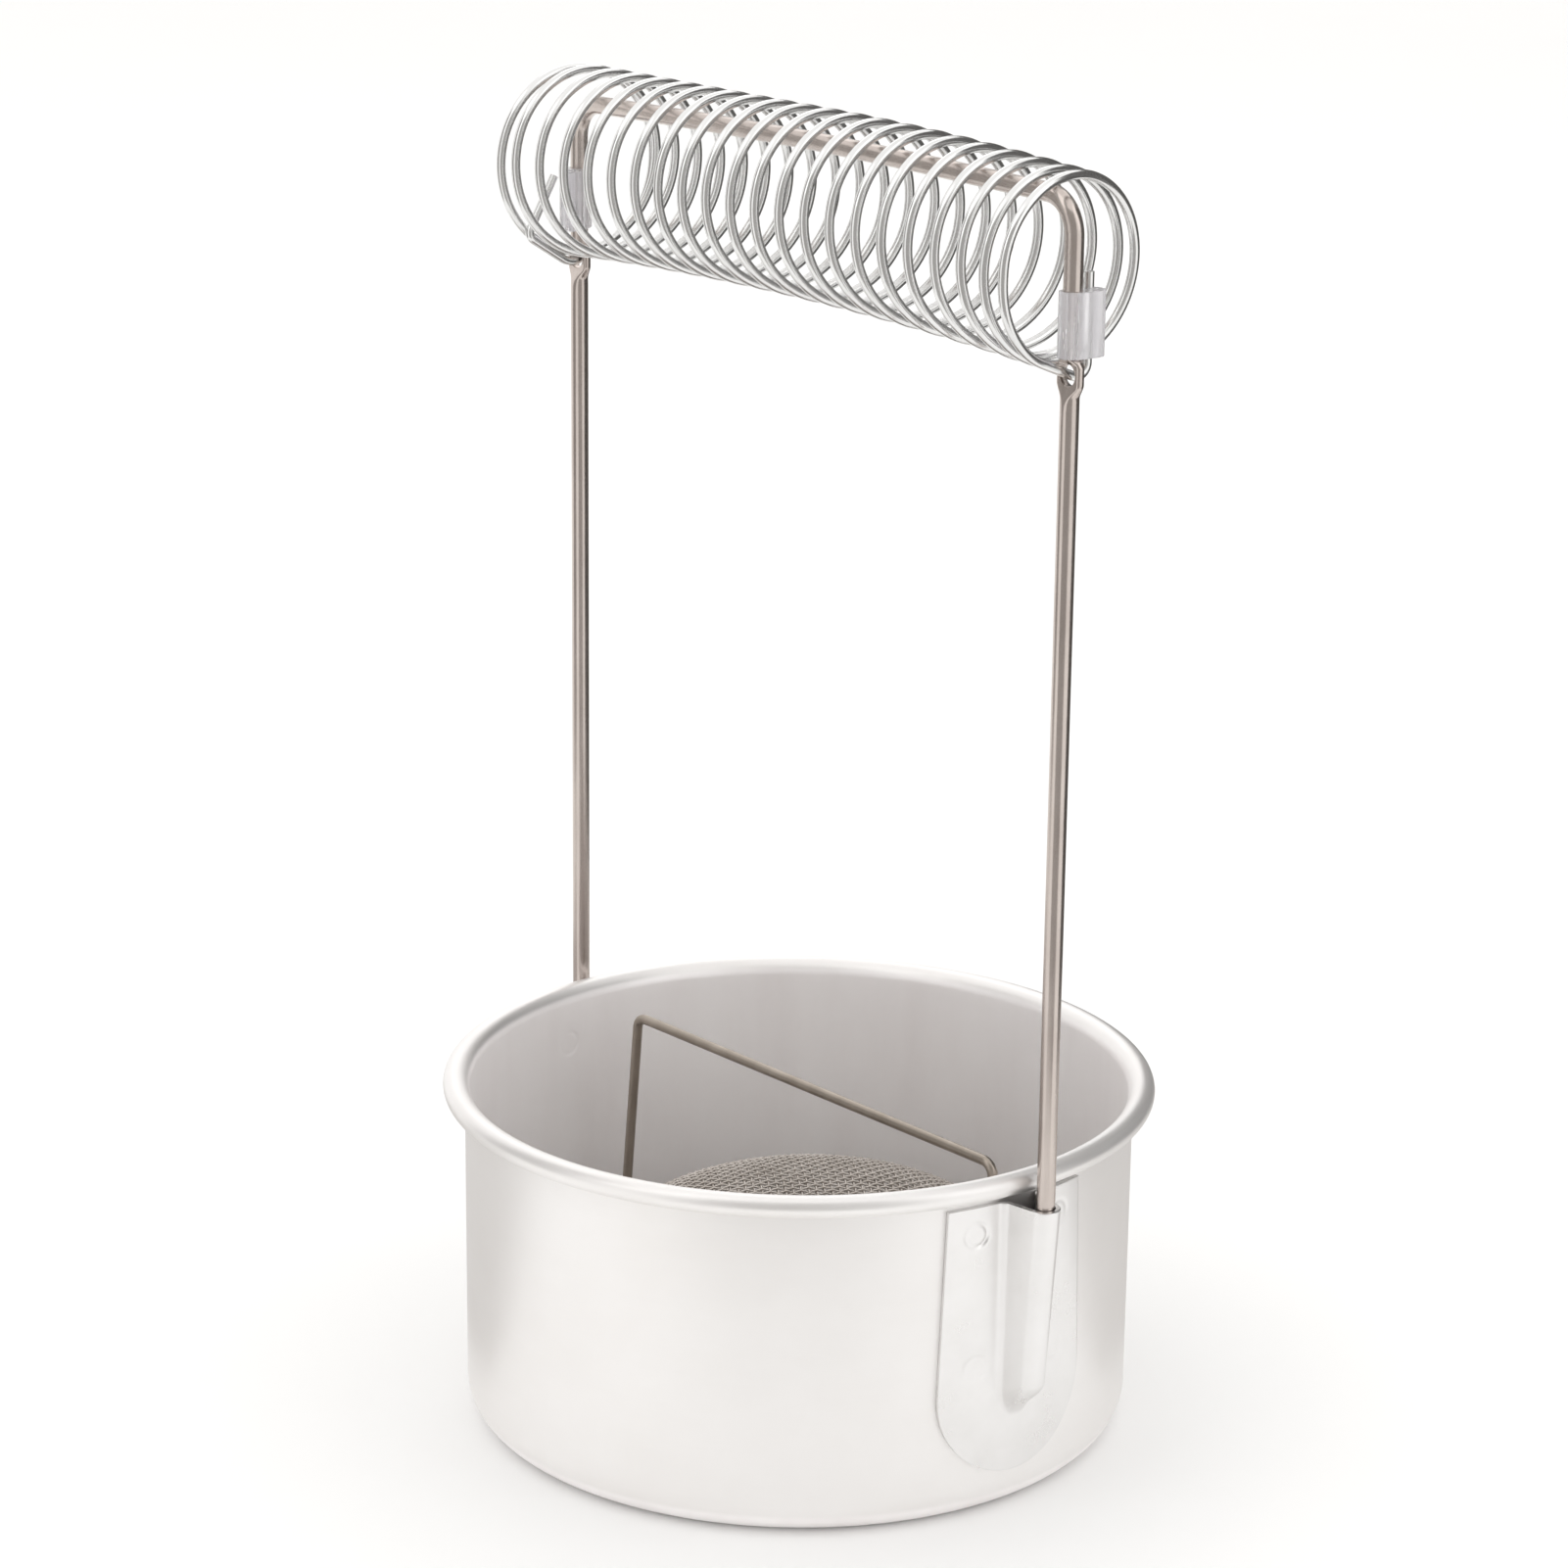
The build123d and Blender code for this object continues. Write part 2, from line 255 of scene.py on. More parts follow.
def rounded_route(corners, bends, spacing, step=6.0):
    """Points along straight runs joined by arcs, with a bend radius for each inner corner."""
    corners = [np.array(corner, float) for corner in corners]
    stops = [corners[0]]
    for before, corner, after, bend in zip(corners, corners[1:], corners[2:], bends):
        inward = (before - corner) / np.linalg.norm(before - corner)
        onward = (after - corner) / np.linalg.norm(after - corner)
        turn = math.pi - math.acos(np.clip(inward @ onward, -1, 1))
        reach = bend * math.tan(turn / 2)
        middle = inward + onward
        centre = corner + middle / np.linalg.norm(middle) * bend / math.cos(turn / 2)
        first, last = corner + inward * reach - centre, corner + onward * reach - centre
        count = max(2, math.ceil(math.degrees(turn) / step))
        for i in range(count + 1):
            share = i / count
            stops.append(
                centre
                + (first * math.sin((1 - share) * turn) + last * math.sin(share * turn)) / math.sin(turn)
            )
    stops.append(corners[-1])
    route = [stops[0]]
    for start, end in zip(stops, stops[1:]):
        count = max(1, round(np.linalg.norm(end - start) / spacing))
        route += [start + (end - start) * i / count for i in range(1, count + 1)]
    return np.array(route)


def tangents_along(route):
    steps = np.gradient(route, axis=0)
    return steps / np.linalg.norm(steps, axis=1)[:, None]


def tube(route, radius, sides, cut=0.3):
    """Points, quads and caps of a round wire along a route, with its two cut ends slightly rounded."""
    tangents = tangents_along(route)
    across = np.cross(tangents[0], (0.0, 1.0, 0.0))
    if np.linalg.norm(across) < 0.1:
        across = np.cross(tangents[0], (1.0, 0.0, 0.0))
    around = 2 * math.pi * np.arange(sides) / sides
    rings = []
    for point, tangent in zip(route, tangents):
        across = across - tangent * (across @ tangent)
        across = across / np.linalg.norm(across)
        beside = np.cross(tangent, across)
        rings.append(point + radius * (np.cos(around)[:, None] * across + np.sin(around)[:, None] * beside))
    inset = cut * radius
    start = route[0] + (rings[0] - route[0]) * (1 - cut)
    end = route[-1] + (rings[-1] - route[-1]) * (1 - cut)
    rings[0] = rings[0] + tangents[0] * inset
    rings[-1] = rings[-1] - tangents[-1] * inset
    rings = np.array([start] + rings + [end])
    count = len(rings)
    caps = [np.arange(sides)[::-1], np.arange(sides) + (count - 1) * sides]
    return rings.reshape(-1, 3), grid_quads(count, sides, wrap_columns=True), caps


def joined(tubes):
    """Several tubes as one set of points, quads and caps."""
    points, quads, caps, offset = [], [], [], 0
    for tube_points, tube_quads, tube_caps in tubes:
        points.append(tube_points)
        quads.append(tube_quads + offset)
        caps += [cap + offset for cap in tube_caps]
        offset += len(tube_points)
    return np.concatenate(points), np.concatenate(quads), caps


def apply_modifiers(piece):
    """Bake a piece's modifiers into its mesh."""
    bpy.context.view_layer.update()
    evaluated = piece.evaluated_get(bpy.context.evaluated_depsgraph_get())
    mesh = bpy.data.meshes.new_from_object(evaluated)
    piece.modifiers.clear()
    piece.data = mesh


# ==== the parts ===================================================================================

def weld_mark(across, up, seed):
    """Depth, 0 to about 1, of the uneven ring that an electrode leaves, at a place beside its centre."""
    distance = np.hypot(across, up)
    angle = np.arctan2(up, across)
    uneven = 0.55 + 0.3 * np.sin(angle + seed) + 0.15 * np.sin(3 * angle + 2 * seed)
    ring = np.exp(-(((distance - weld_radius) / weld_ring) ** 2)) * uneven
    dish = 0.35 * np.exp(-((distance / (0.8 * weld_radius)) ** 2))
    return ring + dish


def weld_marks(across, up):
    depth = 0
    for number, (mark_across, mark_up, strength) in enumerate(welds):
        depth = depth + strength * weld_mark(across - mark_across, up - mark_up, 1.7 * number + 0.6)
    return depth


def cup_profile():
    """The cup's section as one closed loop: from the outlet's edge out, up, over the rim and back."""
    bead = (rim_radius - bead_radius, cup_height - bead_radius)
    bore = bead_radius - sheet
    roll_outer = bead[0] - wall_inner
    roll_z = cup_height - roll_outer
    corner = (wall_radius - corner_radius, corner_radius)
    edge, coarse, fine = cup_cut_edge, cup_coarse, cup_fine
    half = math.pi / 2
    inner_stops = [roll_z, *cup_weld_heights, corner_radius]
    inner_spacings = [coarse, fine, coarse, fine, coarse]
    pieces = [
        arc((outlet_radius + edge, edge), edge, -math.pi, -half, 30),
        run((outlet_radius + edge, 0), (corner[0], 0), coarse),
        arc(corner, corner_radius, -half, 0, 5),
        run((wall_radius, corner_radius), (wall_radius, roll_z), coarse),
        arc((bead[0], roll_z), bead[0] - wall_radius, math.pi, half, 8),
        arc(bead, bore, half, curl_end - 2 * math.pi, 12)[1:],
        arc(bead, bead_radius, curl_end - 2 * math.pi, half, 6),
        arc((bead[0], roll_z), roll_outer, half, math.pi, 6)[1:],
    ]
    for top, bottom, spacing in zip(inner_stops, inner_stops[1:], inner_spacings):
        pieces += [run((wall_inner, top), (wall_inner, bottom), spacing), [(wall_inner, bottom)]]
    pieces += [
        arc(corner, corner_radius - sheet, 0, -half, 6)[1:],
        run((corner[0], sheet), (outlet_radius + edge, sheet), coarse),
        arc((outlet_radius + edge, sheet - edge), edge, half, math.pi, 30),
    ]
    return np.concatenate([np.reshape(piece, (-1, 2)) for piece in pieces])


def make_cup():
    """The spun cup. Its points stand close together beside the brackets, where the welds show inside."""
    fine, coarse, zone = 0.0048, 0.022, 0.21      # angles between points, and the close zone's half angle
    near = np.linspace(-zone, zone, round(2 * zone / fine), endpoint=False)
    far = np.linspace(zone, math.pi - zone, round((math.pi - 2 * zone) / coarse), endpoint=False)
    angles = np.concatenate([near, far, near + math.pi, far + math.pi])
    points = lathe_points(cup_profile(), angles)
    x, y, z = points[..., 0], points[..., 1], points[..., 2]
    radius = np.hypot(x, y)
    inside = np.abs(radius - wall_inner) < 0.05 * MM
    # the spot welds that hold the brackets also mark the wall inside
    depth = cup_weld_depth * inside * weld_marks(y, z)
    points[..., :2] *= (1 + depth / radius)[..., None]
    rows, columns = radius.shape
    quads = grid_quads(rows, columns, wrap_rows=True, wrap_columns=True)
    return mesh_piece("cup", points.reshape(-1, 3), quads)


def channel_section():
    """The channel's side, from its crest's middle outward: distances across, and drops below the crest."""
    drop = mouth_crest - plate_outer
    turn = math.atan2(drop - channel_round - channel_fillet, channel_half - channel_round)
    crest = arc((0, -channel_round), channel_round, math.pi / 2, math.pi / 2 - turn, 4)
    foot_centre = (channel_half + channel_fillet, channel_fillet - drop)
    foot = arc(foot_centre, channel_fillet, math.pi + math.pi / 2 - turn, math.pi * 1.5, 6)
    across, height = np.concatenate([crest, foot]).T
    return across, -height


def channel_height(across, up):
    """How far the bracket's pressed channel stands out from its plate."""
    share_down = (bracket_high.z - up) / (bracket_high.z - low_crest_z)
    crest = np.maximum(mouth_crest + (low_crest - mouth_crest) * share_down, low_crest) - plate_outer
    section_across, section_drop = channel_section()
    # at its lower end the channel narrows to a half ellipse and slopes down to the plate
    below = np.clip((low_crest_z - up) / (low_crest_z - channel_tip_z), 0, 1)
    narrow = np.sqrt(1 - 0.99 * below**2)
    slope = 1 - below * below * (3 - 2 * below)
    drop = np.interp(np.abs(across) / narrow, section_across, section_drop)
    return crest * slope * (1 - drop / section_drop[-1])


def bracket_columns():
    """Places across the plate at its top edge: close together over the channel's steep flanks."""
    across = np.linspace(-plate_top_half, plate_top_half, 4001)
    height = channel_height(across[None, :], np.full((1, len(across)), bracket_high.z))[0]
    length = np.concatenate([[0], np.cumsum(np.hypot(np.diff(across), np.diff(height)))])
    count = round(length[-1] / column_spacing)
    return np.interp(np.linspace(0, length[-1], count), length, across)


def bracket_sheet():
    """Rows of (across, up) over the plate's outline: straight sides above, a round end below."""
    top = bracket_columns() / plate_top_half
    straight = bracket_high.z - plate_wide_z
    rows = []
    # over the channel the columns stay upright
    lean = np.clip((np.abs(top) - upright_share) / (1 - upright_share), 0, 1)
    for share in np.linspace(0, 1, straight_rows)[:-1]:
        half = plate_top_half + (plate_wide_half - plate_top_half) * share
        across = top * (plate_top_half + (half - plate_top_half) * lean)
        rows.append(np.stack([across, np.full_like(across, bracket_high.z - straight * share)], -1))
    wide = top * (plate_top_half + (plate_wide_half - plate_top_half) * lean) / plate_wide_half
    # beyond the channel they fan out, and bend over to meet the round end
    beyond = np.clip((np.abs(wide) - upright_share) / (1 - upright_share), 0, 1)
    at_limit = math.asin(upright_share)
    slope = (1 - upright_share) / math.cos(at_limit)
    span = math.radians(50) - at_limit
    fan = at_limit + slope * beyond + (span - slope) * beyond**2
    inner = np.arcsin(np.minimum(np.abs(wide), upright_share))
    angle = np.where(np.abs(wide) < upright_share, inner, fan)
    end_across, end_down = np.sin(angle) * np.sign(wide), np.cos(angle)
    control_down = end_down * (0.5 + 0.066 * beyond)
    for share in np.linspace(0, 1, round_rows):
        before, between, after = (1 - share) ** 2, 2 * share * (1 - share), share**2
        across = before * wide + between * wide + after * end_across
        down = between * control_down + after * end_down
        rows.append(np.stack([across, -down], -1) * plate_wide_half + [0, plate_wide_z])
    return np.array(rows)


def make_bracket(name, side):
    """One bracket plate with its channel and weld marks. The side is 1 at +X and -1 at -X."""
    sheet_rows = bracket_sheet()
    across, up = sheet_rows[..., 0], sheet_rows[..., 1]
    out = np.sqrt(plate_outer**2 - across**2) + channel_height(across, up)
    out = out - weld_depth * weld_marks(across, up)
    # the lower welds pull the sheet in around them
    for mark_across, mark_up, _ in welds[2:]:
        distance = np.hypot(across - mark_across, up - mark_up)
        out = out - dimple_depth * np.exp(-((distance / dimple_radius) ** 2))
    points = np.stack([side * out, side * across, up], -1)
    rows, columns = across.shape
    quads = grid_quads(rows, columns)[:, ::-1]
    bracket = mesh_piece(name, points.reshape(-1, 3), quads)
    thickness = bracket.modifiers.new("thickness", "SOLIDIFY")
    thickness.thickness = plate
    thickness.offset = -1
    thickness.use_even_offset = True
    edges = bracket.modifiers.new("edges", "BEVEL")
    edges.width = plate_bevel
    edges.segments = 2
    edges.limit_method = "ANGLE"
    edges.angle_limit = math.radians(60)
    apply_modifiers(bracket)
    bracket.data.shade_smooth()
    bracket.data.set_sharp_from_angle(angle=math.radians(50))
    return bracket


def handle_route():
    """Points along the handle's wire, from one foot up, over the bar and down to the other."""
    half = [(rod_foot[0], 0, rod_foot[1]), (rod_x, 0, rod_kink_z), (rod_x, 0, bar_z)]
    other = [(-x, y, z) for x, y, z in reversed(half)]
    bends = (rod_kink_radius, bend_radius, bar_bow_radius, bend_radius, rod_kink_radius)
    return rounded_route(half + [(0, 0, bar_z + bar_bow)] + other, bends, 2.0 * MM)


def flatten_eye(points, side):
    """Press the upright flat and wide round the eye, with a wedge below it and a shoulder above."""
    x, y, z = points.T
    lift = z - eye_z
    widen_low = np.clip((lift + eye_wedge[0]) / eye_wedge[1], 0, 1)
    widen_high = np.sqrt(np.clip((eye_shoulder[0] - lift) / eye_shoulder[1], 0, 1))
    widen = widen_low * widen_low * (3 - 2 * widen_low) * widen_high
    width = 1 + (eye_half_width / rod_radius - 1) * widen
    limit_low = eye_half_thickness + np.clip(-lift - eye_flat[0], 0, None) * eye_slopes[0]
    limit_high = eye_half_thickness + np.clip(lift - eye_flat[1], 0, None) * eye_slopes[1]
    limit = np.maximum(limit_low, limit_high)
    pressed = y / (1 + (np.abs(y) / limit) ** eye_press_power) ** (1 / eye_press_power)
    near = (side * x > 0) & (np.abs(lift) < eye_zone)
    x = np.where(near, side * rod_x + (x - side * rod_x) * width, x)
    return np.stack([x, np.where(near, pressed, y), z], -1)


def handle_stations():
    """The handle's route with closer points where the eyes are pressed."""
    route = handle_route()
    stations = []
    for start, end in zip(route, route[1:]):
        stations.append(start)
        upright = abs(start[0] - end[0]) < 0.01 * MM
        if upright and abs((start[2] + end[2]) / 2 - eye_z) < eye_dense_zone:
            stations += [start + (end - start) * i / eye_dense_steps for i in range(1, eye_dense_steps)]
    stations.append(route[-1])
    return np.array(stations)


def make_drill():
    """The two eyes' bores as one piece, for a cut."""
    bores = []
    for side in (1, -1):
        bore = np.array([(side * rod_x, -drill_half, eye_z), (side * rod_x, drill_half, eye_z)])
        bores.append(tube(bore, eye_radius, 48, 0.0001))
    return mesh_piece("drill", *joined(bores))


def make_handle():
    """The handle's wire with its two pressed and pierced eyes."""
    points, quads, caps = tube(handle_stations(), rod_radius, 48)
    for side in (1, -1):
        points = flatten_eye(points, side)
    handle = mesh_piece("handle_wire", points, quads, caps)
    drill = make_drill()
    hole = handle.modifiers.new("eyes", "BOOLEAN")
    hole.operation = "DIFFERENCE"
    hole.object = drill
    hole.solver = "EXACT"
    rounding = handle.modifiers.new("rounding", "BEVEL")
    rounding.width = handle_bevel
    rounding.segments = 2
    rounding.limit_method = "ANGLE"
    rounding.angle_limit = math.radians(55)
    apply_modifiers(handle)
    bpy.data.objects.remove(drill)
    handle.data.shade_smooth()
    handle.data.set_sharp_from_angle(angle=math.radians(45))
    return handle


def coil_route():
    """Points along the coil as X grows, and the angles at which the wire leaves its two ends."""
    leaves = [math.acos(radius / (z - eye_z)) for radius, z in (coil_left, coil_right)]
    turns_made = coil_windings - sum(leaves) / (2 * math.pi)
    turns = np.linspace(0, turns_made, round(turns_made * coil_steps_per_turn) + 1)
    place_turns, places = np.array(coil_places).T
    # a running mean takes the corners out of the spacing, but leaves the two ends where they are
    spread = np.linspace(-coil_even_turns, coil_even_turns, coil_even_samples)
    x = np.mean([np.interp(turns + s, place_turns, places) for s in spread], axis=0)
    share = np.clip(np.minimum(turns, turns_made - turns) / coil_end_turns, 0, 1)
    x = (np.interp(turns, place_turns, places) * (1 - share) + x * share) * MM
    # the axis is arched, and the coil is a little wider at the left
    outward = np.clip(np.abs(x) / coil_end_x, 0, 1) ** 2
    end_radius = np.where(x < 0, coil_left[0], coil_right[0])
    end_z = np.where(x < 0, coil_left[1], coil_right[1])
    radius = coil_middle_radius + (end_radius - coil_middle_radius) * outward
    height = coil_middle_z + (end_z - coil_middle_z) * outward
    angle = leaves[0] - math.pi / 2 + 2 * math.pi * turns
    route = np.stack([x, radius * np.cos(angle), height + radius * np.sin(angle)], -1)
    return route, leaves


def make_spring():
    """The sprung grip in two halves, each held in its eye and meeting at the middle of the grip."""
    coil, (left_leave, right_leave) = coil_route()
    last, first = coil[-1], coil[0]
    right_corner = last + np.array([0, 1, -math.tan(right_leave)]) * (right_tail_y - last[1])
    left_corner = first + np.array([0, 1, math.tan(left_leave)]) * (left_corner_y - first[1])
    right_top = (right_corner[0], right_corner[1], right_tail_top)
    right_tail = rounded_route([last, right_corner, right_top], (right_tail_bend,), tail_spacing)
    left_end = rounded_route([first, left_corner, *left_tail], left_tail_bends, tail_spacing)
    whole = np.concatenate([left_end[:0:-1], coil, right_tail[1:]])
    middle = len(left_end) - 1 + len(coil) // 2
    halves = []
    for name, route, side in (
        ("grip_coil_left", whole[: middle + 1], -1),
        ("grip_coil_right", whole[middle:], 1),
    ):
        points, quads, caps = tube(route, coil_wire, 20, 0.02)
        half = mesh_piece(name, points, quads, caps)
        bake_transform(half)
        halves.append(half)
    return halves


def circle_loop(centre, radius, sides):
    """A circle's points, as the sleeves' bores need them."""
    angles = 2 * math.pi * np.arange(sides) / sides
    return [(centre[0] + radius * math.cos(a), centre[1] + radius * math.sin(a)) for a in angles]


def sleeve_outline(lobe):
    """The sleeve's outline round the upright and its lobe, with fine grooves round both ends."""
    toward = math.atan2(lobe[1], lobe[0])
    outline = []
    for centre, facing in (((0, 0), toward + math.pi), (lobe, toward)):
        for degrees in np.arange(-90, 90.1, 2.5):
            angle = facing + math.radians(degrees)
            groove = 0
            for i in range(ridges_per_end):
                place = facing + ridge_span * (i / (ridges_per_end - 1) - 0.5)
                beside = sleeve_radius * abs(math.sin((angle - place) / 2)) * 2
                groove = max(groove, math.sqrt(max(0, ridge_radius**2 - beside**2)))
            radius = sleeve_radius - groove
            outline.append((centre[0] + radius * math.cos(angle), centre[1] + radius * math.sin(angle)))
    return outline


def make_sleeve(name, node, side, lobe):
    """A sleeve with two bores: one for the upright, one in its lobe for the spring's end."""
    low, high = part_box(node)
    loops = [
        sleeve_outline(lobe),
        circle_loop((0, 0), rod_radius + sleeve_fit, 40),
        circle_loop(lobe, coil_wire + sleeve_fit, 28),
    ]
    curve = bpy.data.curves.new(name, "CURVE")
    curve.dimensions = "2D"
    curve.fill_mode = "BOTH"
    curve.extrude = (high.z - low.z) / 2 - sleeve_rounding
    curve.bevel_depth = sleeve_rounding
    curve.bevel_resolution = 2
    curve.offset = -sleeve_rounding
    for loop in loops:
        spline = curve.splines.new("POLY")
        spline.points.add(len(loop) - 1)
        for point, (x, y) in zip(spline.points, loop):
            point.co = (x, y, 0, 1)
        spline.use_cyclic_u = True
    maker = bpy.data.objects.new(name, curve)
    bpy.context.scene.collection.objects.link(maker)
    bpy.context.view_layer.update()
    mesh = bpy.data.meshes.new_from_object(maker.evaluated_get(bpy.context.evaluated_depsgraph_get()))
    bpy.data.objects.remove(maker)
    mesh.transform(Matrix.Translation((side * rod_x, 0, (low.z + high.z) / 2)))
    mesh.name = name
    mesh.shade_smooth()
    mesh.set_sharp_from_angle(angle=math.radians(40))
    sleeve = bpy.data.objects.new(name, mesh)
    bpy.context.scene.collection.objects.link(sleeve)
    return sleeve


def dome_curve():
    """The sieve's profile from its top down to its foot: distance along it, radius, height, and normal."""
    radius = np.linspace(0, 1, 400) ** 0.7 * rim_ring_radius
    height = dome_top_z - (dome_top_z - skirt_z) * (radius / rim_ring_radius) ** dome_power
    skirt = np.linspace(skirt_z, mesh_foot_z, 40)[1:]
    radius = np.concatenate([radius, np.full_like(skirt, rim_ring_radius)])
    height = np.concatenate([height, skirt])
    length = np.concatenate([[0], np.cumsum(np.hypot(np.diff(radius), np.diff(height)))])
    slope_r, slope_z = np.gradient(radius, length), np.gradient(height, length)
    size = np.hypot(slope_r, slope_z)
    normal_r, normal_z = -slope_z / size, slope_r / size
    smooth = np.ones(15) / 15
    for values in (normal_r, normal_z):
        values[7:-7] = np.convolve(values, smooth, "valid")
    return length, radius, height, normal_r, normal_z


def in_sieve(points):
    """Turn and shift points from the sieve's own middle to where it lies in the cup."""
    x, y, z = np.asarray(points).T
    turned_x = x * math.cos(sieve_turn) - y * math.sin(sieve_turn)
    turned_y = x * math.sin(sieve_turn) + y * math.cos(sieve_turn)
    return np.stack([turned_x + sieve_shift[0], turned_y + sieve_shift[1], z], -1)


def make_weave(name, direction):
    """All the sieve's wires that run one way, each swaying over and under those it crosses."""
    length, radius, height, normal_r, normal_z = dome_curve()
    reach = length[-1]
    wires = []
    count = int(reach / mesh_pitch)
    for number in range(-count, count + 1):
        offset = number * mesh_pitch
        half = math.sqrt(reach**2 - offset**2)
        if half < 2 * mesh_pitch:
            continue
        steps = int(half / (mesh_pitch / 2))
        along = np.arange(-steps, steps + 1) * mesh_pitch / 2
        distance = np.hypot(along, offset)
        angle = np.arctan2(offset, along) if direction == 0 else np.arctan2(along, offset)
        angle = angle + mesh_turn
        r = np.interp(distance, length, radius)
        z = np.interp(distance, length, height)
        lift_r = np.interp(distance, length, normal_r)
        lift_z = np.interp(distance, length, normal_z)
        # neighbours sway opposite ways, and the wires that cross them sway against both
        sway = mesh_sway * np.cos(math.pi * (along / mesh_pitch + number + direction))
        r, z = r + sway * lift_r, z + sway * lift_z
        crown = np.clip((z - skirt_z) / (dome_top_z - skirt_z), 0, 1) ** crown_power
        x = r * np.cos(angle) + crown_lean[0] * crown
        y = r * np.sin(angle) + crown_lean[1] * crown
        route = in_sieve(np.stack([x, y, z], -1))
        wires.append(tube(route, mesh_wire, 6))
    points, quads, caps = joined(wires)
    return mesh_piece(name, points, quads, caps, crease=180)


def make_band():
    """The strip rolled round the sieve's edge: most of a ring in section, open at the top."""
    opening = math.asin(band_slot / 2 / band_outer)
    inner_opening = math.asin(band_slot / 2 / band_inner)
    half = math.pi / 2
    ring, whole = (rim_ring_radius, rim_ring_z), 2 * math.pi
    outer = arc(ring, band_outer, half + opening, half - opening + whole, 9)
    inner = arc(ring, band_inner, half - inner_opening + whole, half + inner_opening, 12)
    profile = np.concatenate([outer, inner])
    angles = np.linspace(0, 2 * math.pi, 256, endpoint=False)
    points = lathe_points(profile, angles).reshape(-1, 3)
    quads = grid_quads(len(angles), len(profile), wrap_rows=True, wrap_columns=True)
    return mesh_piece("sieve_band", in_sieve(points), quads, crease=50)


def make_bail():
    """The sieve's own wire handle, with its feet in the band."""
    corners = [
        (bail_foot[0], 0, bail_foot[1]),
        (bail_corner[0], 0, bail_corner[1]),
        (-bail_corner[0], 0, bail_corner[1]),
        (-bail_foot[0], 0, bail_foot[1]),
    ]
    points, quads, caps = tube(rounded_route(corners, (bail_bend, bail_bend), 2.0 * MM), bail_wire, 28)
    return mesh_piece("sieve_handle", in_sieve(points), quads, caps)


# ==== materials ===================================================================================

class Nodes:
    """A material's node tree, with short calls for the few nodes that all of these materials use."""

    def __init__(self, name):
        self.material = bpy.data.materials.new(name)
        self.material.use_nodes = True
        self.tree = self.material.node_tree
        self.shader = self.tree.nodes["Principled BSDF"]
        self.place = self.add("ShaderNodeTexCoord").outputs["Object"]

    def add(self, kind, **settings):
        node = self.tree.nodes.new(kind)
        for name, value in settings.items():
            setattr(node, name, value)
        return node

    def link(self, source, target):
        self.tree.links.new(source, target)

    def noise(self, scale, stretch=(1, 1, 1), detail=3.0):
        """Noise over the object's own space, finer along an axis with a larger stretch."""
        mapping = self.add("ShaderNodeMapping")
        mapping.inputs["Scale"].default_value = stretch
        self.link(self.place, mapping.inputs["Vector"])
        noise = self.add("ShaderNodeTexNoise")
        noise.inputs["Scale"].default_value = scale
        noise.inputs["Detail"].default_value = detail
        noise.inputs["Roughness"].default_value = 0.55
        self.link(mapping.outputs["Vector"], noise.inputs["Vector"])
        return noise.outputs["Fac"]

    def spread(self, source, low, high, start=0.3, end=0.7):
        """Map a noise's middle range onto values from low to high."""
        node = self.add("ShaderNodeMapRange")
        node.inputs["From Min"].default_value = start
        node.inputs["From Max"].default_value = end
        node.inputs["To Min"].default_value = low
        node.inputs["To Max"].default_value = high
        self.link(source, node.inputs["Value"])
        return node.outputs["Result"]

    def blend(self, factor, first, second):
        """Mix two colours by a factor socket."""
        node = self.add("ShaderNodeMix", data_type="RGBA")
        node.inputs[6].default_value = (*first, 1)
        node.inputs[7].default_value = (*second, 1)
        self.link(factor, node.inputs[0])
        return node.outputs[2]

    def bump(self, heights):
        """Bump from (height socket, depth in metres) pairs."""
        normal = None
        for source, depth in heights:
            node = self.add("ShaderNodeBump")
            node.inputs["Strength"].default_value = 1.0
            node.inputs["Distance"].default_value = depth
            self.link(source, node.inputs["Height"])
            if normal is not None:
                self.link(normal, node.inputs["Normal"])
            normal = node.outputs["Normal"]
        self.link(normal, self.shader.inputs["Normal"])

    def set(self, **values):
        """Set the shader's own sockets, with _ for a space in a socket's name."""
        for name, value in values.items():
            self.shader.inputs[name.replace("_", " ")].default_value = value


def inside_share(nodes):
    """1 on the cup's inner wall and 0 outside it, from the distance to the cup's axis."""
    level = nodes.add("ShaderNodeVectorMath", operation="MULTIPLY")
    level.inputs[1].default_value = (1, 1, 0)
    nodes.link(nodes.place, level.inputs[0])
    distance = nodes.add("ShaderNodeVectorMath", operation="LENGTH")
    nodes.link(level.outputs["Vector"], distance.inputs[0])
    return nodes.spread(distance.outputs["Value"], 1, 0, wall_inner + 0.2 * MM, wall_inner + 0.6 * MM)


